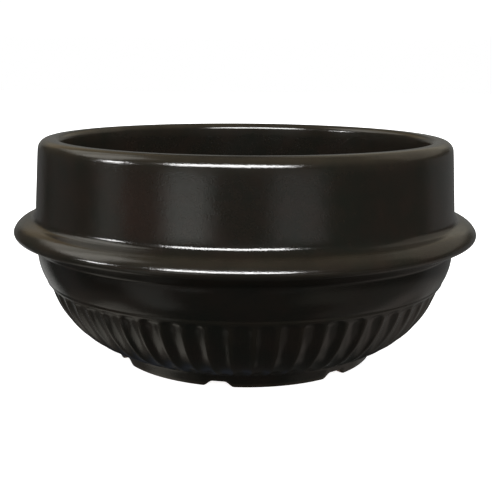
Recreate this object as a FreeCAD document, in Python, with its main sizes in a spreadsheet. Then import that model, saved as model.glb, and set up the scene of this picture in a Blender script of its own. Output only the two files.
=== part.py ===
import FreeCAD, Part
import math
import os
import Sketcher

# A stew pot of glazed earthenware, fired in one piece. Millimetres, +Z up, the origin at the middle of the
# foot's resting face, and -Y the front. From the ground up: a notched foot, a fluted bowl, a plain band that
# stands a little proud of the flutes, a thick flange, and a collar that leans in slightly to a rounded rim.

SIZES = (
    ("total_height", 85.4),
    ("flange_radius", 90.0),
    # Foot: a low ring, hollow underneath, its wall leaning out to the bowl
    ("foot_height", 5.2),
    ("foot_width", 6.9),
    ("foot_lean", 2.0),
    ("foot_bevel", 0.8),
    ("recess_depth", 2.6),
    # Bowl: an arc from the foot to the ring line, given by its radius and the height of its lowest point
    ("bowl_arc_radius", 36.57),
    ("bowl_bottom", 3.47),
    ("ring_height", 31.0),
    # Flutes: equal scoops side by side, deeper at the top, that run out at both ends
    ("flute_count", 60),
    ("flute_foot_gap", 1.6),
    ("flute_depth_top", 0.85),
    ("flute_depth_bottom", 0.5),
    ("flute_end_length", 2.3),
    # Band: stands out over the flutes at the ring line, and swells to its widest under the flange
    ("ring_ledge", 0.44),
    ("band_rise", 12.5),
    ("band_arc_radius", 22.6),
    ("band_straight", 1.0),
    # Flange: a round nose between two sloping faces, its reach given from the band and from the collar
    ("low_reach", 8.55),
    ("high_reach", 8.1),
    ("low_rise", 6.9),
    ("high_rise", 4.65),
    ("nose_radius", 3.85),
    ("low_root_fillet", 2.5),
    ("high_root_fillet", 1.8),
    # Collar and rim
    ("collar_lean", 2.1),
    ("rim_width", 8.2),
    ("rim_outer_rounding", 3.7),
    ("rim_inner_rounding", 2.5),
    # Inside: the bowl's arc again, one wall thickness in
    ("wall_thickness", 7.5),
    # Foot notches: vents through the foot ring, turned a little from the front
    ("notch_count", 7),
    ("notch_turn", -10.4),
    ("notch_width", 11.5),
    ("notch_top_width", 5.0),
    ("notch_height", 2.0),
    ("notch_rounding", 3.0),
)

# What follows from those sizes, from the flange down to the foot and up to the mouth
FOLLOWS = (
    ("bowl_centre_height", "bowl_bottom + bowl_arc_radius"),
    ("flute_bottom", "foot_height + flute_foot_gap"),
    ("band_widest_height", "ring_height + band_rise"),
    ("low_root_height", "band_widest_height + band_straight"),
    ("nose_height", "low_root_height + low_rise"),
    ("high_root_height", "nose_height + high_rise"),
    ("nose_centre_radius", "flange_radius - nose_radius"),
    ("band_radius", "flange_radius - low_reach"),
    ("band_foot_radius", "band_radius - band_arc_radius + sqrt(band_arc_radius ^ 2 - band_rise ^ 2)"),
    ("bowl_top_reach", "sqrt(bowl_arc_radius ^ 2 - (ring_height - bowl_centre_height) ^ 2)"),
    ("bowl_centre_radius", "band_foot_radius - ring_ledge - bowl_top_reach"),
    ("flute_foot_reach", "sqrt(bowl_arc_radius ^ 2 - (flute_bottom - bowl_centre_height) ^ 2)"),
    ("flute_foot_radius", "bowl_centre_radius + flute_foot_reach"),
    ("foot_top_reach", "sqrt(bowl_arc_radius ^ 2 - (foot_height - bowl_centre_height) ^ 2)"),
    ("foot_top_radius", "bowl_centre_radius + foot_top_reach"),
    ("foot_radius", "foot_top_radius - foot_lean"),
    ("foot_inner_radius", "foot_radius - foot_width"),
    ("collar_radius", "flange_radius - high_reach"),
    ("rim_radius", "collar_radius - collar_lean"),
    ("mouth_radius", "rim_radius - rim_width"),
    ("inside_arc_radius", "bowl_arc_radius - wall_thickness"),
    ("floor_height", "bowl_centre_height - inside_arc_radius"),
    ("wall_foot_radius", "bowl_centre_radius + inside_arc_radius"),
)

# How many strips the loft has between the run-outs of the flutes
FLUTE_STRIPS = 5
# How far an outline that cuts reaches past the face that it opens
OVERSHOOT = 1.0

doc = FreeCAD.newDocument("stew_pot")
sheet = doc.addObject("Spreadsheet::Sheet", "sizes")
for row, (name, value) in enumerate(SIZES + FOLLOWS, start=1):
    formula = isinstance(value, str)
    sheet.set(f"A{row}", name)
    sheet.set(f"B{row}", f"={value}" if formula else str(value))
    sheet.setAlias(f"B{row}", name)
doc.recompute()


def size(name):
    """A size, read from the sheet."""
    return float(sheet.get(name))


def worked_out(formula):
    """The number that a formula of the sheet comes to."""
    return float(sheet.evalExpression(formula))


# Sketching


def origin_item(body, role):
    """One of a body's own origin planes or axes."""
    return next(item for item in body.Origin.OriginFeatures if item.Role == role)


def new_sketch(body, name, role):
    """An empty sketch on one of the body's origin planes."""
    sketch = body.newObject("Sketcher::SketchObject", name)
    sketch.AttachmentSupport = [(origin_item(body, role), "")]
    sketch.MapMode = "FlatFace"
    return sketch


def drive(sketch, name, constraint, formula):
    """A dimension of a sketch, bound to a formula of the sheet."""
    index = sketch.addConstraint(constraint)
    sketch.renameConstraint(index, name)
    sketch.setExpression(f"Constraints.{name}", formula)


def pin(sketch, name, item, end, place):
    """Fixes an end of a line or arc, or an arc's middle, where two formulas say; 0 puts it on an axis."""
    for kind, axis, letter, formula in zip(("DistanceX", "DistanceY"), (-2, -1), "xy", place):
        if formula == "0":
            sketch.addConstraint(Sketcher.Constraint("PointOnObject", item, end, axis))
        else:
            value = worked_out(formula)
            rule = Sketcher.Constraint(kind, -1, 1, item, end, value)
            drive(sketch, f"{name}_{letter}", rule, formula)


def arc_between(start, end, centre):
    """The arc from start to end about a centre, turning anticlockwise."""
    first = math.atan2(start.y - centre.y, start.x - centre.x)
    last = math.atan2(end.y - centre.y, end.x - centre.x)
    if last < first:
        last += 2 * math.pi
    circle = Part.Circle(centre, FreeCAD.Vector(0, 0, 1), (start - centre).Length)
    return Part.ArcOfCircle(circle, first, last)


def touch(centre, radius, far, side):
    """Where a line from a far point touches a circle, on its anticlockwise (1) or clockwise (-1) side."""
    away = far - centre
    angle = math.atan2(away.y, away.x) + side * math.acos(radius / away.Length)
    return centre + FreeCAD.Vector(radius * math.cos(angle), radius * math.sin(angle), 0)


def point_at(place):
    """The point of a sketch that a pair of formulas gives."""
    return FreeCAD.Vector(worked_out(place[0]), worked_out(place[1]), 0)


def outline(sketch, steps):
    """A closed outline, run anticlockwise.

    A step is a name, a place and what leads there from the step before: nothing for a straight line, or the
    radius of an arc. A step named as a nose is an arc about its place, which the lines on both sides touch.
    """
    count = len(steps)
    middles = [point_at(place) for _, place, _ in steps]
    starts, ends = list(middles), list(middles)
    for index, (name, _, radius) in enumerate(steps):
        if name == "nose":
            before, after = middles[index - 1], middles[(index + 1) % count]
            starts[index] = touch(middles[index], worked_out(radius), before, 1)
            ends[index] = touch(middles[index], worked_out(radius), after, -1)
    runs = []
    for index, (name, place, radius) in enumerate(steps):
        last = ends[index - 1]
        if radius is None or name == "nose":
            runs.append((sketch.addGeometry(Part.LineSegment(last, starts[index])), None))
        else:
            half = (starts[index] - last) / 2
            rise = math.sqrt(worked_out(radius) ** 2 - half.Length ** 2)
            across = FreeCAD.Vector(-half.y, half.x, 0).normalize()
            centre = last + half + across * rise
            runs.append((sketch.addGeometry(arc_between(last, starts[index], centre)), radius))
        if name == "nose":
            bend = sketch.addGeometry(arc_between(starts[index], ends[index], middles[index]))
            runs.append((bend, "nose"))
            pin(sketch, name, bend, 3, place)
            drive(sketch, "nose_radius", Sketcher.Constraint("Radius", bend, worked_out(radius)), radius)
        else:
            pin(sketch, name, runs[-1][0], 2, place)
            if radius is not None:
                rule = Sketcher.Constraint("Radius", runs[-1][0], worked_out(radius))
                drive(sketch, f"{name}_radius", rule, radius)
    for (item, kind), (following, next_kind) in zip(runs, runs[1:] + runs[:1]):
        meeting = "Tangent" if "nose" in (kind, next_kind) else "Coincident"
        sketch.addConstraint(Sketcher.Constraint(meeting, item, 2, following, 1))


def line_to(sketch, place):
    """The line of a sketch that ends at a place given by two formulas."""
    corner = point_at(place)
    items = range(sketch.GeometryCount)
    return next(item for item in items if (sketch.getPoint(item, 2) - corner).Length < 1e-6)


def rounded(sketch, name, place, radius):
    """A sketch's corner eased by an arc, with the sharp corner kept as a point."""
    line, arc = line_to(sketch, place), sketch.GeometryCount
    sketch.fillet(line, 2, worked_out(radius), True, True)
    drive(sketch, name, Sketcher.Constraint("Radius", arc, worked_out(radius)), radius)


# Features


def turned(body, kind, name, sketch):
    """A sketch turned right round the pot's axis, to add or to cut."""
    feature = body.newObject(kind, name)
    feature.Profile = sketch
    feature.ReferenceAxis = (origin_item(body, "Z_Axis"), [""])
    feature.Angle = 360
    doc.recompute()
    return feature


def rings(shape, radius, height):
    """The names of a shape's round edges at a distance from the axis and a height."""
    found = []
    for index, edge in enumerate(shape.Edges, start=1):
        if not isinstance(edge.Curve, Part.Circle):
            continue
        point = edge.Vertexes[0].Point
        if abs(math.hypot(point.x, point.y) - radius) < 1e-4 and abs(point.z - height) < 1e-4:
            found.append(f"Edge{index}")
    return found


def eased(body, kind, name, base, edges, dimension, alias):
    """Edges rounded or bevelled by a size of the sheet."""
    feature = body.newObject(kind, name)
    feature.Base = (base, edges)
    feature.setExpression(dimension, f"sizes.{alias}")
    doc.recompute()
    return feature


# Fluted bowl


def flute_depth(along, length):
    """A flute's depth at a distance up the bowl's arc.

    It grows evenly from bottom to top, and runs out along a quarter ellipse at both ends.
    """
    share = along / length
    full = size("flute_depth_bottom") * (1 - share) + size("flute_depth_top") * share
    left = 1 - min(along, length - along, size("flute_end_length")) / size("flute_end_length")
    return full * math.sqrt(1 - left ** 2)


def flute_level(angle, depth):
    """One level of the bowl, at an angle from the horizontal: ridges on its arc with round scoops between."""
    out = FreeCAD.Vector(math.cos(angle), 0, math.sin(angle))
    centre = FreeCAD.Vector(size("bowl_centre_radius"), 0, size("bowl_centre_height"))
    ridge = centre + out * size("bowl_arc_radius")
    valley = ridge - out * depth
    pitch = 2 * math.pi / size("flute_count")
    scoops = []
    for index in range(int(size("flute_count"))):
        points = []
        for point, turn in ((ridge, index - 0.5), (valley, index), (ridge, index + 0.5)):
            cosine, sine = math.cos(turn * pitch), math.sin(turn * pitch)
            points.append(FreeCAD.Vector(point.x * cosine, point.x * sine, point.z))
        scoops.append(Part.Arc(*points).toShape())
    return Part.Wire(scoops)


def fluted_bowl():
    """The bowl between the foot and the ring line as a solid, lofted straight from level to level."""
    arc_radius, middle = size("bowl_arc_radius"), size("bowl_centre_height")
    low = math.asin((size("flute_bottom") - middle) / arc_radius)
    high = math.asin((size("ring_height") - middle) / arc_radius)
    length = (high - low) * arc_radius
    end = size("flute_end_length")
    between = (length - 2 * end) / FLUTE_STRIPS
    stations = [0, end / 4]
    stations += [end + between * strip for strip in range(FLUTE_STRIPS + 1)]
    stations += [length - end / 4, length]
    levels = [flute_level(low + along / arc_radius, flute_depth(along, length)) for along in stations]
    return Part.makeLoft(levels, True, True)


# Pot

scoops = doc.addObject("Part::Feature", "scoops")
scoops.Shape = fluted_bowl()
fluted = doc.addObject("PartDesign::Body", "fluted")
fluted.BaseFeature = scoops
doc.recompute()

pot = doc.addObject("PartDesign::Body", "pot_body")
pot.Label = "pot"
outside = new_sketch(pot, "outside", "XZ_Plane")
low_root = ("sizes.band_radius", "sizes.low_root_height")
high_root = ("sizes.collar_radius", "sizes.high_root_height")
outline(
    outside,
    [
        ("recess_middle", ("0", "sizes.recess_depth"), None),
        ("recess_edge", ("sizes.foot_inner_radius", "sizes.recess_depth"), None),
        ("foot_inside", ("sizes.foot_inner_radius", "0"), None),
        ("foot_outside", ("sizes.foot_radius", "0"), None),
        ("foot_top", ("sizes.foot_top_radius", "sizes.foot_height"), None),
        ("flute_foot", ("sizes.flute_foot_radius", "sizes.flute_bottom"), None),
        ("core_low", ("sizes.foot_inner_radius", "sizes.flute_bottom"), None),
        ("core_high", ("sizes.foot_inner_radius", "sizes.ring_height"), None),
        ("band_foot", ("sizes.band_foot_radius", "sizes.ring_height"), None),
        ("band_widest", ("sizes.band_radius", "sizes.band_widest_height"), "sizes.band_arc_radius"),
        ("low_root", low_root, None),
        ("nose", ("sizes.nose_centre_radius", "sizes.nose_height"), "sizes.nose_radius"),
        ("high_root", high_root, None),
        ("rim", ("sizes.rim_radius", "sizes.total_height"), None),
        ("rim_middle", ("0", "sizes.total_height"), None),
    ],
)
rounded(outside, "low_root_rounding", low_root, "sizes.low_root_fillet")
rounded(outside, "high_root_rounding", high_root, "sizes.high_root_fillet")
turned(pot, "PartDesign::Revolution", "turning", outside)

joined = pot.newObject("PartDesign::Boolean", "with_flutes")
joined.setObjects([fluted])
joined.Type = "Fuse"
doc.recompute()

inside = new_sketch(pot, "inside", "XZ_Plane")
above = f"sizes.total_height + {OVERSHOOT}"
outline(
    inside,
    [
        ("floor_middle", ("0", "sizes.floor_height"), None),
        ("floor_edge", ("sizes.bowl_centre_radius", "sizes.floor_height"), None),
        ("wall_foot", ("sizes.wall_foot_radius", "sizes.bowl_centre_height"), "sizes.inside_arc_radius"),
        ("mouth", ("sizes.mouth_radius", "sizes.total_height"), None),
        ("above_mouth", ("sizes.mouth_radius", above), None),
        ("above_middle", ("0", above), None),
    ],
)
hollow = turned(pot, "PartDesign::Groove", "hollow", inside)

# Roundings: the rim's two edges, and a bevel on both edges of the foot
rim_edge = rings(hollow.Shape, size("rim_radius"), size("total_height"))
rim = eased(pot, "PartDesign::Fillet", "rim_outside", hollow, rim_edge, "Radius", "rim_outer_rounding")
mouth_edge = rings(rim.Shape, size("mouth_radius"), size("total_height"))
mouth = eased(pot, "PartDesign::Fillet", "rim_inside", rim, mouth_edge, "Radius", "rim_inner_rounding")
foot_edges = rings(mouth.Shape, size("foot_radius"), 0) + rings(mouth.Shape, size("foot_inner_radius"), 0)
foot = eased(pot, "PartDesign::Chamfer", "foot_edges", mouth, foot_edges, "Size", "foot_bevel")

# Notches, cut outwards through the foot ring from just inside it
notch = new_sketch(pot, "notch", "XZ_Plane")
notch.AttachmentOffset = FreeCAD.Placement(
    FreeCAD.Vector(), FreeCAD.Rotation(FreeCAD.Vector(0, 1, 0), size("notch_turn"))
)
below = f"-{OVERSHOOT}"
half_width, half_top = "sizes.notch_width / 2", "sizes.notch_top_width / 2"
top_right, top_left = (half_top, "sizes.notch_height"), (f"-{half_top}", "sizes.notch_height")
outline(
    notch,
    [
        ("low_left", (f"-{half_width}", below), None),
        ("low_right", (half_width, below), None),
        ("foot_right", (half_width, "0"), None),
        ("top_right", top_right, None),
        ("top_left", top_left, None),
        ("foot_left", (f"-{half_width}", "0"), None),
    ],
)
rounded(notch, "right_rounding", top_right, "sizes.notch_rounding")
rounded(notch, "left_rounding", top_left, "sizes.notch_rounding")
cut = pot.newObject("PartDesign::Pocket", "notch_cut")
cut.Profile = notch
cut.Reversed = True
cut.setExpression("Length", f"sizes.foot_radius + {OVERSHOOT}")
doc.recompute()
notches = pot.newObject("PartDesign::PolarPattern", "notches")
notches.Originals = [cut]
notches.Axis = (origin_item(pot, "Z_Axis"), [""])
notches.Angle = 360
notches.setExpression("Occurrences", "sizes.notch_count")
pot.Tip = notches
pot.Placement = FreeCAD.Placement()
doc.recompute()

# Checks, then the file

for item in doc.Objects:
    if "Invalid" in item.State or "Error" in item.State:
        raise RuntimeError(f"{item.Name} failed: {item.State}")
    if item.isDerivedFrom("Part::Feature") and (item.Shape.isNull() or not item.Shape.isValid()):
        raise RuntimeError(f"{item.Name} has no valid shape")
for sketch in (outside, inside, notch):
    if not sketch.FullyConstrained:
        raise RuntimeError(f"{sketch.Name} isn't fully constrained")
one_notch = foot.Shape.Volume - cut.Shape.Volume
all_notches = foot.Shape.Volume - pot.Shape.Volume
if one_notch <= 0 or abs(all_notches / one_notch - size("notch_count")) > 0.02:
    raise RuntimeError("the notches don't all cut the foot")
if len(pot.Shape.Solids) != 1:
    raise RuntimeError("the pot isn't one solid")

os.makedirs("parts", exist_ok=True)
pot.Shape.exportStep(f"parts/{pot.Label}.step")
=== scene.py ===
import math

import bpy
import numpy as np
from mathutils import Matrix


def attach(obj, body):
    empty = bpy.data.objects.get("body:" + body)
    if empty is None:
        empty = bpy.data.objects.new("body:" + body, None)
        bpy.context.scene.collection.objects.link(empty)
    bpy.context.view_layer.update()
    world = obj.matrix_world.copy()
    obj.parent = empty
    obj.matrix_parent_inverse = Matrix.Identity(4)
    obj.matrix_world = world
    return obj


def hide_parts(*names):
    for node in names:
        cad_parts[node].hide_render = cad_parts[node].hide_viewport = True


# The looks of a glazed earthenware stew pot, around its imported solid. Metres, the origin under the middle of
# the foot, +Z up and -Y the front. The pot is one surface: a profile in millimetres, carried round its axis.

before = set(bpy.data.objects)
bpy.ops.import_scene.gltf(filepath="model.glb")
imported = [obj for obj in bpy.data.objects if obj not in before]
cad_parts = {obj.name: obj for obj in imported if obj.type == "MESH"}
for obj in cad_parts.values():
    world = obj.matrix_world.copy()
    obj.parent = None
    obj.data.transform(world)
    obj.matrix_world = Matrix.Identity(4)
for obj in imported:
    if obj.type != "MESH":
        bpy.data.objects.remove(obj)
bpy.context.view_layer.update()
MM = 0.001

# Sizes as the solid has them, in millimetres, and the notches' turn in degrees

TOTAL_HEIGHT, FLANGE_RADIUS, WALL_THICKNESS = 85.4, 90.0, 7.5
FOOT_HEIGHT, FOOT_WIDTH, FOOT_LEAN, RECESS_DEPTH = 5.2, 6.9, 2.0, 2.6
NOTCH_COUNT, NOTCH_TURN, NOTCH_WIDTH, NOTCH_HEIGHT = 7, -10.4, 11.5, 2.0
BOWL_ARC_RADIUS, BOWL_BOTTOM, RING_HEIGHT = 36.57, 3.47, 31.0
FLUTE_COUNT, FLUTE_FOOT_GAP = 60, 1.6
RING_LEDGE, BAND_RISE, BAND_ARC_RADIUS, BAND_STRAIGHT = 0.44, 12.5, 22.6, 1.0
LOW_REACH, HIGH_REACH, LOW_RISE, HIGH_RISE = 8.55, 8.1, 6.9, 4.65
COLLAR_LEAN, RIM_WIDTH = 2.1, 8.2

# Roundings of the profile's corners, the width of the notches' shoulders, and how much lower the flange's
# upper root is than the solid's, in millimetres

RECESS_ROUNDING, SOLE_ROUNDING, FOOT_TOP_ROUNDING = 1.2, 1.0, 1.6
LOW_ROOT_ROUNDING, HIGH_ROOT_ROUNDING = 1.2, 3.0
RIM_ROUNDING, MOUTH_ROUNDING = 4.0, 2.5
NOTCH_SHOULDER, HIGH_ROOT_DROP = 3.6, 0.6

# The flange's edge: the radii of its three arcs and the height of the tip's middle, in millimetres, and the
# angles from the outward direction at which the tip's arc gives way to the other two

LOW_CORNER_RADIUS, TIP_RADIUS, TOP_ARC_RADIUS, TIP_HEIGHT = 0.7, 2.1, 6.6, 50.45
LOW_TURN, HIGH_TURN = math.radians(-58), math.radians(27)

# The bead over the flutes' upper ends. It reaches BEAD_HEIGHT over the ring line and stands full to BEAD_FULL
# below its top edge. From there it slopes down to nothing at BEAD_END. It stays BEAD_SINK under the band's
# surface, and its top edge is rounded in by BEAD_ROUNDING over its last BEAD_ROUNDED millimetres.

BEAD_HEIGHT, BEAD_FULL, BEAD_END = 1.6, 0.8, 3.0
BEAD_SINK, BEAD_ROUNDING, BEAD_ROUNDED = 0.08, 0.07, 0.5

# The flutes: their depth at the bottom and the top, the hollow's share of a flute's width at the bottom and
# what the ridges take more of it at the top, how far they end below the bead's top edge, and their turn, in
# flutes. At each end: the share by which they narrow, over what length, and over what length the floor climbs.

FLUTE_DEPTH_BOTTOM, FLUTE_DEPTH_TOP, HOLLOW_SHARE, RIDGE_GROWTH = 0.5, 0.9, 0.88, 0.16
FLUTE_TOP_GAP, FLUTE_PHASE = 1.7, 0.08
LOW_NARROWING, LOW_NARROWED, LOW_CLIMB = 0.75, 2.4, 2.6
HIGH_NARROWING, HIGH_NARROWED, HIGH_CLIMB = 0.6, 2.2, 3.4

# The surface's grid: rows on the bowl, columns of the foot and bowl and of the rest, and how strongly rows
# crowd towards the flutes' ends and columns towards their ridges

BOWL_ROWS, FINE, COARSE = 46, FLUTE_COUNT * 12, FLUTE_COUNT * 4
ROW_CROWDING, COLUMN_CROWDING = 0.75, 0.5

# Places that follow from the sizes

BOWL_CENTRE_HEIGHT = BOWL_BOTTOM + BOWL_ARC_RADIUS
FLUTE_BOTTOM = FOOT_HEIGHT + FLUTE_FOOT_GAP
BEAD_TOP = RING_HEIGHT + BEAD_HEIGHT
BAND_WIDEST = RING_HEIGHT + BAND_RISE
BAND_RADIUS = FLANGE_RADIUS - LOW_REACH
COLLAR_RADIUS = FLANGE_RADIUS - HIGH_REACH
RIM_RADIUS = COLLAR_RADIUS - COLLAR_LEAN
MOUTH_RADIUS = RIM_RADIUS - RIM_WIDTH


def bowl_reach(height):
    """How far the bowl's arc stands out from its own middle at a height, by Pythagoras."""
    return math.sqrt(BOWL_ARC_RADIUS ** 2 - (height - BOWL_CENTRE_HEIGHT) ** 2)


def band_reach(height):
    """The radius of the band's arc at a height, by Pythagoras from its widest place."""
    return BAND_RADIUS - BAND_ARC_RADIUS + math.sqrt(BAND_ARC_RADIUS ** 2 - (BAND_WIDEST - height) ** 2)


BOWL_CENTRE_RADIUS = band_reach(RING_HEIGHT) - RING_LEDGE - bowl_reach(RING_HEIGHT)
BOWL_CENTRE = (BOWL_CENTRE_RADIUS, BOWL_CENTRE_HEIGHT)
FOOT_TOP_RADIUS = BOWL_CENTRE_RADIUS + bowl_reach(FOOT_HEIGHT)
FOOT_RADIUS = FOOT_TOP_RADIUS - FOOT_LEAN
FOOT_INNER = FOOT_RADIUS - FOOT_WIDTH
INSIDE_ARC_RADIUS = BOWL_ARC_RADIUS - WALL_THICKNESS
FLOOR_HEIGHT = BOWL_CENTRE_HEIGHT - INSIDE_ARC_RADIUS

BAND_TOP = (BAND_RADIUS, BAND_WIDEST)
LOW_ROOT = (BAND_RADIUS, BAND_WIDEST + BAND_STRAIGHT)
HIGH_ROOT = (COLLAR_RADIUS, LOW_ROOT[1] + LOW_RISE + HIGH_RISE - HIGH_ROOT_DROP)
RIM = (RIM_RADIUS, TOTAL_HEIGHT)
MOUTH = (MOUTH_RADIUS, TOTAL_HEIGHT)
WALL_FOOT = (BOWL_CENTRE_RADIUS + INSIDE_ARC_RADIUS, BOWL_CENTRE_HEIGHT)
FLUTE_FOOT = (BOWL_CENTRE_RADIUS + bowl_reach(FLUTE_BOTTOM), FLUTE_BOTTOM)

# The profile, in runs of points, each a radius and a height


def line(start, end, count, first=0, last=1):
    """Points evenly along a straight line, from a first share of its length to a last one."""
    share = np.linspace(first, last, count)[:, None]
    return np.array(start) * (1 - share) + np.array(end) * share


def arc(middle, radius, first, last, count):
    """Points evenly along an arc: from its middle, the radius times the cosine and the sine of each angle."""
    turn = np.linspace(first, last, count)
    return np.array(middle) + radius * np.stack([np.cos(turn), np.sin(turn)], axis=1)


def corner(before, at, after, radius, count):
    """A corner rounded off: the arc of a radius that touches the lines to the points before and after.

    The arc's middle is on the line that halves the corner, as far from it as the radius over the sine of half
    the corner's angle.
    """
    before, at, after = (np.array(point, float) for point in (before, at, after))
    back = (before - at) / np.linalg.norm(before - at)
    on = (after - at) / np.linalg.norm(after - at)
    half = math.acos(float(back @ on)) / 2
    middle = at + (back + on) / np.linalg.norm(back + on) * radius / math.sin(half)
    start, end = at + back * radius / math.tan(half) - middle, at + on * radius / math.tan(half) - middle
    first = math.atan2(start[1], start[0])
    turn = (math.atan2(end[1], end[0]) - first + math.pi) % (2 * math.pi) - math.pi
    return arc(middle, radius, first, first + turn, count)


def touch(middle, radius, far, side):
    """At what angle a line from a far point touches a circle, on its anticlockwise (1) or other side (-1).

    It is the far point's direction, turned by the angle whose cosine is the radius over the distance.
    """
    away = np.array(far) - np.array(middle)
    return math.atan2(away[1], away[0]) + side * math.acos(radius / math.hypot(*away))


def on_circle(middle, radius, angle):
    """A point of a circle: from its middle, the radius times the angle's cosine and sine."""
    return (middle[0] + radius * math.cos(angle), middle[1] + radius * math.sin(angle))


def foot_profile():
    """From the recess under the pot round the foot to where the flutes begin: roundings with lines between.

    The line on the foot's resting face stays 2.2 mm inside its edges, and the line on its side runs from 0.35
    to 0.725 of the way up.
    """
    recess, inner = (0, RECESS_DEPTH), (FOOT_INNER, RECESS_DEPTH)
    low_in, low_out, top = (FOOT_INNER, 0), (FOOT_RADIUS, 0), (FOOT_TOP_RADIUS, FOOT_HEIGHT)
    runs = (
        corner(recess, inner, low_in, RECESS_ROUNDING, 5),
        corner(inner, low_in, low_out, SOLE_ROUNDING, 6),
        line((FOOT_INNER + 2.2, 0), (FOOT_RADIUS - 2.2, 0), 3),
        corner(low_in, low_out, top, SOLE_ROUNDING, 6),
        line(low_out, top, 3, 0.35, 0.725),
        corner(low_out, top, FLUTE_FOOT, FOOT_TOP_ROUNDING, 6),
    )
    return np.concatenate(runs)


def bowl_profile():
    """The bowl's arc from the flutes' feet to the bead's top edge, and each point's distance along it.

    The rows are closer together near both ends: a wave of the sine is taken from their even shares.
    """
    low = math.asin((FLUTE_BOTTOM - BOWL_CENTRE_HEIGHT) / BOWL_ARC_RADIUS)
    high = math.asin((BEAD_TOP - BOWL_CENTRE_HEIGHT) / BOWL_ARC_RADIUS)
    share = np.linspace(0, 1, BOWL_ROWS)
    share = share - ROW_CROWDING * np.sin(2 * np.pi * share) / (2 * np.pi)
    turn = low + (high - low) * share
    points = np.array(BOWL_CENTRE) + BOWL_ARC_RADIUS * np.stack([np.cos(turn), np.sin(turn)], axis=1)
    return points, (turn - low) * BOWL_ARC_RADIUS


def flange_profile():
    """The flange's edge: a tight lower corner, the round tip, then a wider arc over its top, all touching.

    Two arcs touch where their middles and the place are on one line. The outer two begin and end where lines
    from the flange's roots touch them.
    """
    tip = (FLANGE_RADIUS - TIP_RADIUS, TIP_HEIGHT)
    under = on_circle(tip, TIP_RADIUS - LOW_CORNER_RADIUS, LOW_TURN)
    over = on_circle(tip, TIP_RADIUS - TOP_ARC_RADIUS, HIGH_TURN)
    low_touch = touch(under, LOW_CORNER_RADIUS, LOW_ROOT, 1)
    high_touch = touch(over, TOP_ARC_RADIUS, HIGH_ROOT, -1)
    runs = (
        arc(under, LOW_CORNER_RADIUS, low_touch, LOW_TURN, 6)[:-1],
        arc(tip, TIP_RADIUS, LOW_TURN, HIGH_TURN, 12)[:-1],
        arc(over, TOP_ARC_RADIUS, HIGH_TURN, high_touch, 12),
    )
    return np.concatenate(runs)


def upper_profile():
    """From the bead over the band, flange, collar and rim, and down the inside to its floor.

    The band's arc begins 0.012 radians over the bead's top and ends 0.03 under its own widest place. The
    straight lines stop short of the roundings and of the inside's arc.
    """
    band_middle = (BAND_RADIUS - BAND_ARC_RADIUS, BAND_WIDEST)
    band_foot = math.asin((BEAD_TOP - BAND_WIDEST) / BAND_ARC_RADIUS)
    flange = flange_profile()
    collar_low = (COLLAR_RADIUS - 0.3, HIGH_ROOT[1] + 3)
    collar_high = (RIM_RADIUS + 0.45, TOTAL_HEIGHT - 6)
    wall_high = (MOUTH_RADIUS - 0.1, TOTAL_HEIGHT - 6)
    wall_low = (WALL_FOOT[0] + 0.05, BOWL_CENTRE_HEIGHT + 3)
    runs = (
        arc(band_middle, BAND_ARC_RADIUS, band_foot + 0.012, -0.03, 12),
        corner(BAND_TOP, LOW_ROOT, flange[0], LOW_ROOT_ROUNDING, 9),
        flange,
        corner(flange[-1], HIGH_ROOT, RIM, HIGH_ROOT_ROUNDING, 11),
        line(collar_low, collar_high, 9),
        corner(HIGH_ROOT, RIM, MOUTH, RIM_ROUNDING, 15),
        corner(RIM, MOUTH, WALL_FOOT, MOUTH_ROUNDING, 12),
        line(wall_high, wall_low, 9),
        arc(BOWL_CENTRE, INSIDE_ARC_RADIUS, 0, -math.pi / 2, 21),
        line((BOWL_CENTRE_RADIUS - 6, FLOOR_HEIGHT), (4, FLOOR_HEIGHT), 6),
    )
    return np.concatenate(runs)


def outward(points):
    """The direction square to a profile at each of its points, to the right of the way it runs."""
    along = np.gradient(points, axis=0)
    along /= np.linalg.norm(along, axis=1)[:, None]
    return np.stack([along[:, 1], -along[:, 0]], axis=1)


# The flutes, the bead and the notches


def rise(share):
    """A smooth step from 0 to 1: three times the square less twice the cube."""
    share = np.clip(share, 0, 1)
    return share * share * (3 - 2 * share)


def scoop(across, start):
    """A flute's depth across it, as a share: a hollow to a start share of its half width, then a round ridge.

    The hollow is 1 less the square of the way across over the start. The ridge is the square of what is left
    of the way over 1 less the start. They meet at one depth.
    """
    across = np.abs(across)
    hollow = 1 - across ** 2 / start
    ridge = (1 - np.clip(across, 0, 1)) ** 2 / (1 - start)
    return np.where(across < start, hollow, ridge)


def run_out(distance, length):
    """What is left of a rounded end at a distance from it: a quarter circle's height over its length."""
    left = 1 - np.clip(distance / length, 0, 1)
    return np.sqrt(1 - left ** 2)


def flute_depth(turn, along, length):
    """How deep the flutes are, in mm, at a turn counted in flutes and a distance along their length.

    The depth grows evenly from bottom to top, and so do the ridges' widths. The ends are round: there each
    flute narrows by a corner's arc, and its floor climbs back to the surface.
    """
    across = 2 * (turn - np.round(turn))
    share, left = along / length, length - along
    full = FLUTE_DEPTH_BOTTOM * (1 - share) + FLUTE_DEPTH_TOP * share
    width = 1 - LOW_NARROWING * (1 - run_out(along, LOW_NARROWED))
    width = width - HIGH_NARROWING * (1 - run_out(left, HIGH_NARROWED))
    climb = run_out(along, LOW_CLIMB) * run_out(left, HIGH_CLIMB)
    return full * climb * scoop(across / width, HOLLOW_SHARE - RIDGE_GROWTH * share)


def bead(below):
    """How far the bead stands out from the bowl's arc, in mm, at a distance below its top edge."""
    full = band_reach(BEAD_TOP) - (BOWL_CENTRE_RADIUS + bowl_reach(BEAD_TOP)) - BEAD_SINK
    slope = np.clip((BEAD_END - below) / (BEAD_END - BEAD_FULL), 0, 1)
    return full * slope - BEAD_ROUNDING * rise((BEAD_ROUNDED - below) / BEAD_ROUNDED)


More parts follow.
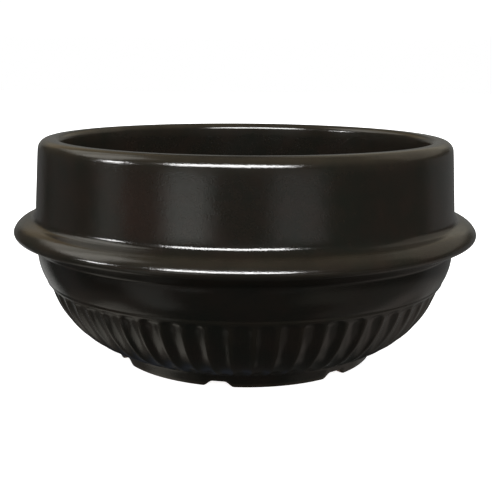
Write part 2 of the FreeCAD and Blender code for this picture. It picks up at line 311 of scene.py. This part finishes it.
def notch_lift(radius, angle):
    """How far the foot's underside is lifted by its notches, in mm: flat on top, with soft shoulders.

    A point's distance aside from the nearest notch's middle is its radius times the sine of the angle to it.
    """
    pitch = 2 * math.pi / NOTCH_COUNT
    turn = (angle - math.radians(NOTCH_TURN) + pitch / 2) % pitch - pitch / 2
    aside = np.abs(radius * np.sin(turn))
    return NOTCH_HEIGHT * rise((NOTCH_WIDTH / 2 - aside) / NOTCH_SHOULDER)


# The pot's mesh


def ring_turns(columns, crowding):
    """The turns of one ring of points, in flutes, crowded towards the ridges by adding a wave of the sine."""
    turn = np.arange(columns) * FLUTE_COUNT / columns
    return turn + crowding * np.sin(2 * np.pi * turn) / (2 * np.pi)


def ring_angle(turn):
    """A turn counted in flutes, as an angle."""
    return turn * 2 * np.pi / FLUTE_COUNT


# Where the glaze is thin or missing, and where shade is painted on, in millimetres

# The foot's resting face is bare from BARE_IN outside its inner edge to BARE_OUT inside its outer one, and up
# to BARE_TOP. Outside that the glaze is thin, up to THIN_TOP. The rest are the widths over which each fades.
BARE_IN, BARE_OUT, BARE_FADE, BARE_TOP, BARE_TOP_FADE = 0.2, 0.1, 0.5, 0.5, 0.4
THIN_TOP, THIN_FADE = 1.2, 0.8
RIDGE_DEPTH, RIDGE_THINNESS = 0.25, 0.15
# Thin on an edge of the profile: the place's middle, the square of its spread, and how thin
THIN_EDGES = (
    ((RIM_RADIUS - 1.2, TOTAL_HEIGHT - 1.2), 6, 1.0),
    ((MOUTH_RADIUS + 0.7, TOTAL_HEIGHT - 0.7), 3, 1.0),
    ((FLANGE_RADIUS - 2.5, 53.5), 12, 0.7),
)
# Painted shade outside: the colour darkens from the first height down over the second, and stays dark below
PAINTED_SHADE_TOP, PAINTED_SHADE_STEP = 51.5, 3.0


def stretch(radius, height, turn, thin=0.0, bare=0.0, painted_shade=0.0):
    """A stretch of the pot, with a row for each ring: its points in metres, and three shares at each of them.

    Radii and heights are in mm, and turns in flutes from the front: x is the radius times the sine of the
    angle, and -y the radius times its cosine. The shares are how thin the glaze is, how bare the clay is, and
    how much painted shade darkens it.
    """
    radius, height, turn, *shares = np.broadcast_arrays(radius, height, turn, thin, bare, painted_shade)
    angle = ring_angle(turn)
    points = np.stack([radius * np.sin(angle), -radius * np.cos(angle), height], axis=-1) * MM
    return points, np.stack(shares, axis=-1)


def recess_stretch():
    """The flat recess under the pot, from 6 mm off its middle to 3 mm from the foot."""
    recess = line((6, RECESS_DEPTH), (FOOT_INNER - 3, RECESS_DEPTH), 5)
    # The recess is painted in full shade.
    return stretch(recess[:, :1], recess[:, 1:], ring_turns(COARSE, 0), painted_shade=1.0)


def foot_stretch(turn):
    """The foot. Its notches lift the underside, and press together what is between it and the top.

    The top is the recess's on the foot's inner side, to 0.3 mm outside it, and elsewhere the foot's own.
    """
    foot = foot_profile()
    radius, level = foot[:, :1], foot[:, 1:]
    top = np.where(radius < FOOT_INNER + 0.3, RECESS_DEPTH, FOOT_HEIGHT)
    lift = notch_lift(radius, ring_angle(turn))
    height = lift + level * (1 - lift / top)
    bare = rise((radius - FOOT_INNER - BARE_IN) / BARE_FADE)
    bare = bare * rise((FOOT_RADIUS - BARE_OUT - radius) / BARE_FADE)
    bare = bare * rise((BARE_TOP - level) / BARE_TOP_FADE)
    thin = rise((FOOT_RADIUS + THIN_FADE - radius) / THIN_FADE)
    thin = thin * rise((THIN_TOP - level) / THIN_FADE) * (1 - bare)
    # The whole foot is painted in full shade: the last share is 1.
    return stretch(radius, height, turn, thin, bare, 1.0)


def bowl_stretch(turn):
    """The fluted bowl: its arc's points moved out by the bead and in by the flutes, square to the surface.

    The glaze is a little thin on the ridges, where the flutes are less than RIDGE_DEPTH deep.
    """
    bowl, along = bowl_profile()
    along, length, normal = along[:, None], along[-1], outward(bowl)
    depth = flute_depth(turn + FLUTE_PHASE, along, length - FLUTE_TOP_GAP)
    out = bead(length - along) - depth
    thin = RIDGE_THINNESS * np.clip(1 - depth / RIDGE_DEPTH, 0, 1)
    # The whole fluted bowl is painted in full shade: the last share is 1.
    return stretch(bowl[:, :1] + normal[:, :1] * out, bowl[:, 1:] + normal[:, 1:] * out, turn, thin, 0.0, 1.0)


def upper_stretch():
    """The rest of the pot, from the bead over the rim to the inside's floor.

    The thinness round an edge falls off as e to the power of minus the distance's square over the spread's.
    """
    upper = upper_profile()
    radius, height = upper[:, :1], upper[:, 1:]
    thin = 0
    for middle, spread, most in THIN_EDGES:
        thin = thin + most * np.exp(-((upper - np.array(middle)) ** 2).sum(axis=1, keepdims=True) / spread)
    # Painted shade on the outside, darkening it from a height near the flange's tip downward.
    painted_shade = rise((PAINTED_SHADE_TOP - height) / PAINTED_SHADE_STEP) * (radius > MOUTH_RADIUS)
    return stretch(radius, height, ring_turns(COARSE, 0), thin, 0.0, painted_shade)


def strip(first, second, ratio):
    """Faces between two rings of points, the first with ratio times the second's columns, or equally many."""
    count = len(second)
    column = np.arange(count)
    low = [first[(column * ratio + step) % len(first)] for step in range(ratio + 1)]
    return np.stack(low + [second[(column + 1) % count], second[column]], axis=1).tolist()


def fan(middle, before, after):
    """Triangles from one middle point to each pair of neighbours on a ring."""
    return np.stack([np.full(len(before), middle), before, after], axis=1).tolist()


def pot_mesh():
    """The whole pot as one closed surface: rings of points along the profile, from the recess to the inside.

    The foot and bowl have three times the columns of the rest, and a point on the axis closes each end.
    """
    turn = ring_turns(FINE, COLUMN_CROWDING)[None, :] - FLUTE_PHASE
    stretches = recess_stretch(), foot_stretch(turn), bowl_stretch(turn), upper_stretch()
    rings = [ring for points, _ in stretches for ring in points]
    shares = np.concatenate([share.reshape(-1, 3) for _, share in stretches] + [np.zeros((2, 3))])
    ends = [[[0, 0, RECESS_DEPTH * MM]], [[0, 0, FLOOR_HEIGHT * MM]]]

    starts = np.cumsum([0] + [len(ring) for ring in rings])
    index = [np.arange(start, end) for start, end in zip(starts, starts[1:])]
    faces = []
    for lower, higher in zip(index, index[1:]):
        if len(lower) >= len(higher):
            faces += strip(lower, higher, len(lower) // len(higher))
        else:
            faces += [face[::-1] for face in strip(higher, lower, len(higher) // len(lower))]
    faces += fan(starts[-1], np.roll(index[0], -1), index[0])
    faces += fan(starts[-1] + 1, index[-1], np.roll(index[-1], -1))

    mesh = bpy.data.meshes.new("pot_glazed")
    mesh.from_pydata(np.concatenate(rings + ends).tolist(), [], faces)
    # The third share stored is painted shade.
    for name, values in zip(("thin_glaze", "bare_clay", "painted_shade"), shares.T):
        layer = mesh.attributes.new(name, "FLOAT", "POINT")
        layer.data.foreach_set("value", values.astype(np.float32))
    mesh.polygons.foreach_set("use_smooth", np.ones(len(mesh.polygons), bool))
    mesh.update()
    return mesh


# Materials: their nodes, and the glaze


def fill(tree, node, inputs):
    """A node's inputs, by name or number, each linked from a socket or set to a value."""
    for key, value in inputs.items():
        if isinstance(value, bpy.types.NodeSocket):
            tree.links.new(value, node.inputs[key])
        else:
            node.inputs[key].default_value = value


def add_node(tree, kind, inputs, **settings):
    """A new node with its settings and its inputs."""
    node = tree.nodes.new(kind)
    for name, value in settings.items():
        setattr(node, name, value)
    fill(tree, node, inputs)
    return node


# Colours of the glaze and the clay, as shares of red, green and blue light and a whole alpha, and the clay's
# roughness as a grey
GREENISH, REDDISH = (0.0122, 0.0130, 0.0097, 1), (0.0210, 0.0150, 0.0112, 1)
SPECK = (0.030, 0.022, 0.014, 1)
# The first colour on the next line is painted shade: a near black that darkens the lower outside.
PAINTED_SHADE_COLOUR, THIN_GLAZE = (0.0028, 0.0030, 0.0029, 1), (0.044, 0.036, 0.024, 1)
DARK_CLAY, LIGHT_CLAY = (0.20, 0.115, 0.065, 1), (0.30, 0.19, 0.12, 1)
CLAY_ROUGHNESS = (0.9, 0.9, 0.9, 1)


def glaze():
    """A dark iron glaze: brown-black in depth, browner where it is thin, with a fine orange-peel surface.

    The foot's resting face is bare clay, and painted shade darkens the lower outside, the foot and the recess.
    Each colour is a mix of two by a noise or by a share of the surface.
    """
    material = bpy.data.materials.new("dark_glaze")
    material.use_nodes = True
    tree = material.node_tree
    place = add_node(tree, "ShaderNodeTexCoord", {}).outputs["Object"]

    def noise(scale, detail, roughness=0.5):
        """A noise from 0 to 1, with about as many lumps to a metre as its scale."""
        inputs = {"Vector": place, "Scale": scale, "Detail": detail, "Roughness": roughness}
        return add_node(tree, "ShaderNodeTexNoise", inputs).outputs["Fac"]

    def ramp(value, *stops):
        """A colour that goes evenly from one stop's to the other's as a value does from place to place."""
        node = add_node(tree, "ShaderNodeValToRGB", {"Fac": value})
        for element, (position, colour) in zip(node.color_ramp.elements, stops):
            element.position, element.color = position, colour
        return node.outputs["Color"]

    def mix(share, first, second):
        """A first colour times what is left of a share, and a second times the share."""
        return add_node(tree, "ShaderNodeMix", {0: share, 6: first, 7: second}, data_type="RGBA").outputs[2]

    def worked_out(operation, first, second):
        """A sum or product of two numbers, kept between 0 and 1."""
        settings = {"operation": operation, "use_clamp": True}
        return add_node(tree, "ShaderNodeMath", {0: first, 1: second}, **settings).outputs[0]

    def share_of(name):
        """One of the surface's own shares."""
        return add_node(tree, "ShaderNodeAttribute", {}, attribute_name=name).outputs["Fac"]

    def bump(scale, height, normal=None):
        """A surface that a noise raises by a height in metres, on a surface that may already be bumpy."""
        inputs = {"Strength": 1.0, "Distance": height, "Height": noise(scale, 2)}
        if normal:
            inputs["Normal"] = normal
        return add_node(tree, "ShaderNodeBump", inputs).outputs["Normal"]

    speckle = ramp(noise(900, 2), (0.55, (0.0, 0.0, 0.0, 1)), (0.75, (1.0, 1.0, 1.0, 1)))
    edge = worked_out("MULTIPLY", share_of("thin_glaze"), worked_out("ADD", noise(120, 3), 0.2))
    bare = share_of("bare_clay")
    colour = ramp(noise(75, 5, 0.6), (0.32, GREENISH), (0.68, REDDISH))
    colour = mix(worked_out("MULTIPLY", speckle, 0.25), colour, SPECK)
    # Painted shade: half-way towards near black on the lower outside, the foot and the recess.
    colour = mix(worked_out("MULTIPLY", share_of("painted_shade"), 0.5), colour, PAINTED_SHADE_COLOUR)
    colour = mix(edge, colour, THIN_GLAZE)
    colour = mix(bare, colour, ramp(noise(400, 5), (0.3, DARK_CLAY), (0.7, LIGHT_CLAY)))
    gloss = add_node(tree, "ShaderNodeMapRange", {"Value": noise(60, 3), "To Min": 0.10, "To Max": 0.17})
    looks = {
        "Base Color": colour,
        "Roughness": mix(bare, gloss.outputs["Result"], CLAY_ROUGHNESS),
        "Normal": bump(90, 0.00012, bump(2200, 0.000042)),
        "IOR": 1.5,
    }
    fill(tree, tree.nodes["Principled BSDF"], looks)
    return material


pot = bpy.data.objects.new("pot_glazed", pot_mesh())
bpy.context.scene.collection.objects.link(pot)
pot.data.materials.append(glaze())
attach(pot, "root")
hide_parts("pot")

# The floor: white to the camera, not mirrored by the pot, and with no part in its light

floor_mesh = bpy.data.meshes.new("floor")
floor_mesh.from_pydata([(-3, -3, 0), (3, -3, 0), (3, 3, 0), (-3, 3, 0)], [], [(0, 1, 2, 3)])
floor = bpy.data.objects.new("floor", floor_mesh)
bpy.context.scene.collection.objects.link(floor)
pale = bpy.data.materials.new("pale_floor")
pale.use_nodes = True
pale_looks = {
    "Base Color": (0.95, 0.95, 0.95, 1),
    "Roughness": 0.8,
    "Emission Color": (1, 1, 1, 1),
    "Emission Strength": 0.9,
}
fill(pale.node_tree, pale.node_tree.nodes["Principled BSDF"], pale_looks)
floor.data.materials.append(pale)
floor.visible_glossy = floor.visible_diffuse = floor.visible_shadow = False

# The lamps. Azimuths are counted from the front towards +X, and elevations up from level, in degrees.

LAMP_DISTANCE, LAMP_TARGET = 1.2, (0, 0, 0.06)


def softbox(name, azimuth, elevation, width, height, power):
    """A flat lamp that faces the pot, seen only in what the glaze mirrors."""
    lamp = bpy.data.lights.new(name, "AREA")
    lamp.shape = "RECTANGLE"
    lamp.size, lamp.size_y, lamp.energy = width, height, power
    body = bpy.data.objects.new(name, lamp)
    turn, lift = math.radians(azimuth), math.radians(elevation)
    away = np.array([math.sin(turn) * math.cos(lift), -math.cos(turn) * math.cos(lift), math.sin(lift)])
    across = np.array([math.cos(turn), math.sin(turn), 0])
    body.location = away * LAMP_DISTANCE + np.array(LAMP_TARGET)
    body.rotation_mode = "QUATERNION"
    body.rotation_quaternion = Matrix((across, np.cross(away, across), away)).transposed().to_quaternion()
    body.visible_diffuse = False
    bpy.context.scene.collection.objects.link(body)


softbox("overhead_front", -8, 30, 1.26, 0.36, 43)
softbox("left_small", -71, 16, 0.19, 0.18, 4)

# What the glaze mirrors apart from the lamps: soft panels on a dim ground, each from azimuth to azimuth and
# from elevation to elevation, in degrees, with its brightness. Where two overlap, their brightness adds up.

DIM_GROUND = (0.03, 0.03, 0.028)
SIDE_SOFTNESS, LEVEL_SOFTNESS = 2, 3
PANELS = (
    (-41, -18, -12, 3, (1.15, 1.15, 1.10)),
    (-82, -66, -14, 3, (0.34, 0.34, 0.32)),
    (-66, -42, -12, 3, (0.14, 0.06, 0.05)),
    (14, 40, -12, 3, (0.48, 0.47, 0.46)),
    (40, 58, -12, 3, (0.03, 0.03, 0.02)),
    (112, 180, -30, 3, (0.09, 0.09, 0.09)),
    (-180, -138, -30, 3, (0.07, 0.07, 0.07)),
    (-125, -100, -30, 3, (0.04, 0.04, 0.04)),
    (-66, -42, -50, -14, (0.28, 0.28, 0.26)),
    (-180, -158, -54, -32, (0.003, 0.008, 0.020)),
    (-160, -135, -26, -12, (0.28, 0.28, 0.27)),
    (-134, -86, -62, -42, (0.36, 0.35, 0.31)),
    (-150, -60, -64, -30, (0.07, 0.06, 0.05)),
    (32, 60, -40, -18, (0.12, 0.12, 0.10)),
    (104, 124, -56, -30, (0.14, 0.12, 0.11)),
    (58, 150, -62, -20, (0.10, 0.09, 0.08)),
    (-112, -80, 28, 58, (2.0, 1.95, 1.8)),
    (-142, -112, 28, 56, (0.95, 0.93, 0.84)),
    (-168, -142, 14, 50, (0.24, 0.18, 0.10)),
    (150, 174, 12, 50, (0.26, 0.23, 0.17)),
    (98, 150, 14, 50, (0.26, 0.24, 0.20)),
    (-180, -150, 0, 20, (0.135, 0.135, 0.125)),
    (150, 180, 0, 20, (0.135, 0.135, 0.125)),
)

# The light that falls on the pot, by the upward share of the way towards it: weak under LIGHT_LOW, full over
# LIGHT_HIGH, and a smooth step between

LIGHT_LOW, LIGHT_HIGH, WEAK_LIGHT, FULL_LIGHT = -0.2, 0.1, 0.22, 1.15

world = bpy.data.worlds.new("studio")
bpy.context.scene.world = world
world.use_nodes = True
sky = world.node_tree


def number(operation, *values):
    """A number worked out from others by a node of the world."""
    return add_node(sky, "ShaderNodeMath", dict(enumerate(values)), operation=operation).outputs[0]


def vector(operation, inputs):
    """A colour worked out from others by a node of the world."""
    return add_node(sky, "ShaderNodeVectorMath", inputs, operation=operation).outputs[0]


def soft_step(value, *limits):
    """A smooth step between two limits of a value, from 0 to 1, or from a third limit to a fourth."""
    inputs = dict(enumerate((value, *limits)))
    return add_node(sky, "ShaderNodeMapRange", inputs, interpolation_type="SMOOTHSTEP").outputs[0]


def soft_between(angle, low, high, soft):
    """1 between two angles, 0 outside: a smooth step up round the low one times one down round the high."""
    low, high, soft = math.radians(low), math.radians(high), math.radians(soft)
    up, down = soft_step(angle, low - soft, low + soft), soft_step(angle, high + soft, high - soft)
    return number("MULTIPLY", up, down)


way = add_node(sky, "ShaderNodeTexCoord", {}).outputs["Generated"]
split = add_node(sky, "ShaderNodeSeparateXYZ", {0: way}).outputs
azimuth = number("ARCTAN2", split["X"], number("MULTIPLY", split["Y"], -1.0))
elevation = number("ARCSINE", split["Z"])
mirrored = add_node(sky, "ShaderNodeCombineXYZ", dict(enumerate(DIM_GROUND))).outputs[0]
for left, right, low, high, colour in PANELS:
    side = soft_between(azimuth, left, right, SIDE_SOFTNESS)
    level = soft_between(elevation, low, high, LEVEL_SOFTNESS)
    panel = vector("SCALE", {0: colour, 3: number("MULTIPLY", side, level)})
    mirrored = vector("ADD", {0: mirrored, 1: panel})
ray = add_node(sky, "ShaderNodeLightPath", {}).outputs
falling = soft_step(split["Z"], LIGHT_LOW, LIGHT_HIGH, WEAK_LIGHT, FULL_LIGHT)
unmirrored = number("MAXIMUM", falling, ray["Is Camera Ray"])
seen = add_node(sky, "ShaderNodeMix", {0: ray["Is Glossy Ray"], 6: unmirrored, 7: mirrored}, data_type="RGBA")
fill(sky, sky.nodes["Background"], {"Color": seen.outputs[2]})
bpy.context.scene.view_settings.view_transform = "Standard"

# The camera: its pitch and roll in radians, its distance from a target on the axis and the target's height in
# metres, its focal length and sideways shift in pixels of a picture that wide, and the sensor in millimetres

CAMERA_PITCH, CAMERA_ROLL, CAMERA_DISTANCE, TARGET_HEIGHT = 0.20133, 0.0080, 0.36457, 0.04136
PICTURE_WIDTH, FOCAL_LENGTH, SIDE_SHIFT, SENSOR_WIDTH = 492, 904.60, 1.1, 36

lens = bpy.data.cameras.new("camera")
lens.sensor_width = SENSOR_WIDTH
lens.lens = SENSOR_WIDTH * FOCAL_LENGTH / PICTURE_WIDTH
lens.shift_x = SIDE_SHIFT / PICTURE_WIDTH
lens.clip_start = 0.01
camera = bpy.data.objects.new("camera", lens)
back = np.array([0, -math.cos(CAMERA_PITCH), math.sin(CAMERA_PITCH)])
level_right = np.array([1.0, 0, 0])
level_up = np.cross(back, level_right)
right = level_right * math.cos(CAMERA_ROLL) + level_up * math.sin(CAMERA_ROLL)
up = level_up * math.cos(CAMERA_ROLL) - level_right * math.sin(CAMERA_ROLL)
spot = back * CAMERA_DISTANCE + np.array([0, 0, TARGET_HEIGHT])
columns = np.stack([right, up, back, spot], axis=1)
camera.matrix_world = Matrix([*columns.tolist(), [0, 0, 0, 1]])
bpy.context.scene.collection.objects.link(camera)
bpy.context.scene.camera = camera
